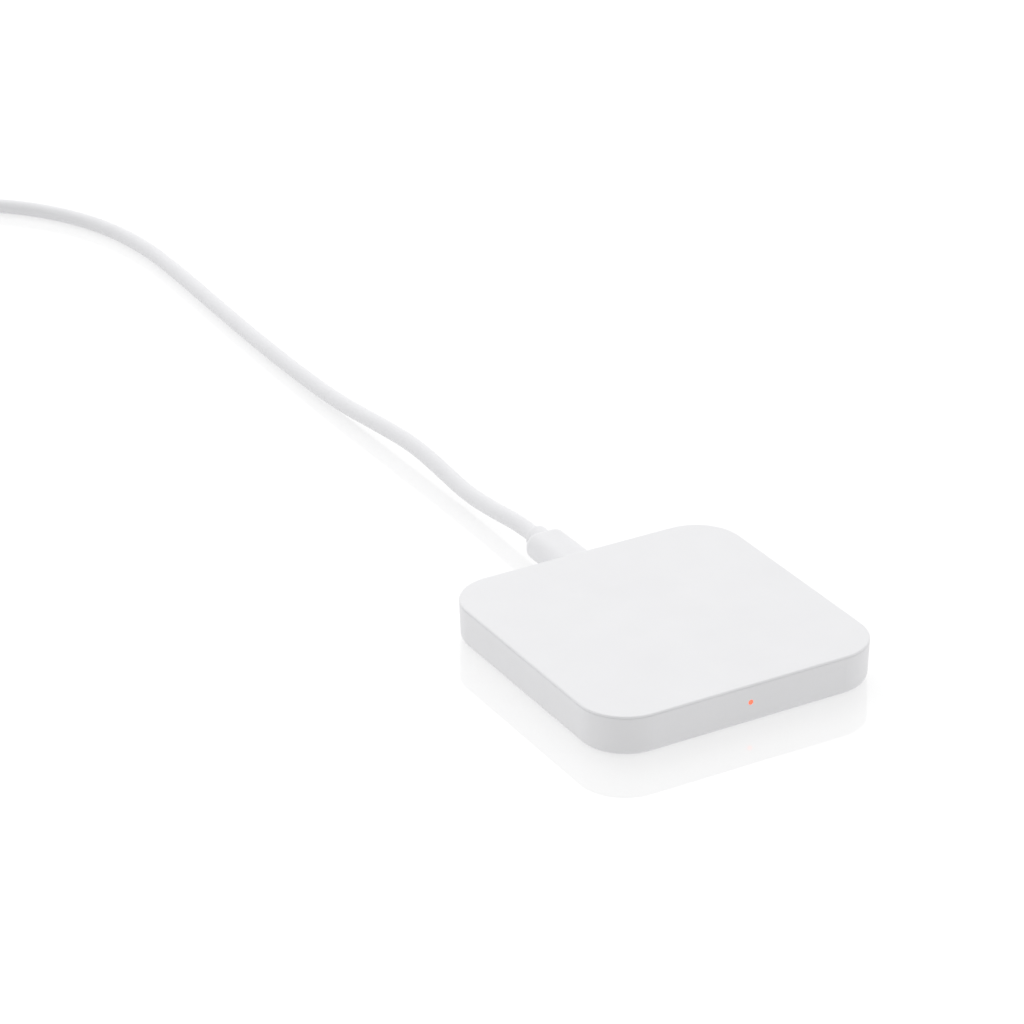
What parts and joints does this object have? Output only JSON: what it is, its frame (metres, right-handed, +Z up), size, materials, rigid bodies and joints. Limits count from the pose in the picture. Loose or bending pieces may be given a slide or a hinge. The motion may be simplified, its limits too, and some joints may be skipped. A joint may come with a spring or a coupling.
{
  "type": "wireless charging pad",
  "caption": "Flat rounded-square wireless charging pad with a status light in front and a plug-in cord at the back.",
  "frame": {"origin": "middle of the pad's underside, at the bottom of its feet", "axes": "+Z up out of the charging surface, -Y the front side with the status light, +Y the back side with the socket and cord"},
  "size_m": [0.1599, 0.4072, 0.0111],
  "materials": {
    "white_shell": "fine satin white ABS",
    "white_cover": "smooth satin white ABS",
    "white_moulding": "soft satin PVC",
    "white_cord": "satin soft PVC",
    "foot_rubber": "matt silicone",
    "screw_steel": "zinc plated",
    "light_window": "clear, lit orange-red",
    "board": "green solder mask",
    "chip_black": "matt epoxy",
    "ceramic": "fired ceramic",
    "led_body": "clear resin on white",
    "tinned_steel": "bright nickel",
    "black_insulator": "moulded",
    "usb_plate": "moulded white",
    "gold_contact": "gold plated",
    "ferrite": "sintered",
    "tape": "translucent tape",
    "copper_wire": "enamelled stranded copper",
    "foam": "closed-cell foam",
    "tie_strap": "woven hook-and-loop"
  },
  "bodies": {
    "pad": {"housing": "white_shell", "top_cover": "white_cover", "rubber_feet": "foot_rubber", "cover_screws": "screw_steel", "light_pipe": "light_window", "circuit_board": "board", "controller_chip": "chip_black", "regulator_chip": "chip_black", "supply_inductor": "ferrite", "bridge_transistors": "chip_black", "resonant_capacitors": "ceramic", "bulk_capacitors": "ceramic", "chip_resistors": "chip_black", "status_led": "led_body", "socket_shell": "tinned_steel", "socket_tongue": "black_insulator", "socket_contacts": "gold_contact", "ferrite_shield": "ferrite", "adhesive_ring": "tape", "transmitter_coil": "copper_wire", "coil_leads": "copper_wire", "coil_thermistor": "chip_black", "foam_spacers": "foam"},
    "cable": {"plug_moulding": "white_moulding", "plug_shell": "tinned_steel", "plug_insulator": "black_insulator", "plug_contacts": "gold_contact", "cord": "white_cord", "cord_tail": "white_cord", "cord_coil": "white_cord", "cord_tie": "tie_strap", "usb_moulding": "white_moulding", "usb_shell": "tinned_steel", "usb_insulator": "usb_plate", "usb_contacts": "gold_contact"}
  },
  "joints": [
    {"name": "plug_slide", "type": "slide", "parent": "pad", "child": "cable", "axis": [0, 1, 0], "range_m": [0, 0.01]}
  ]
}
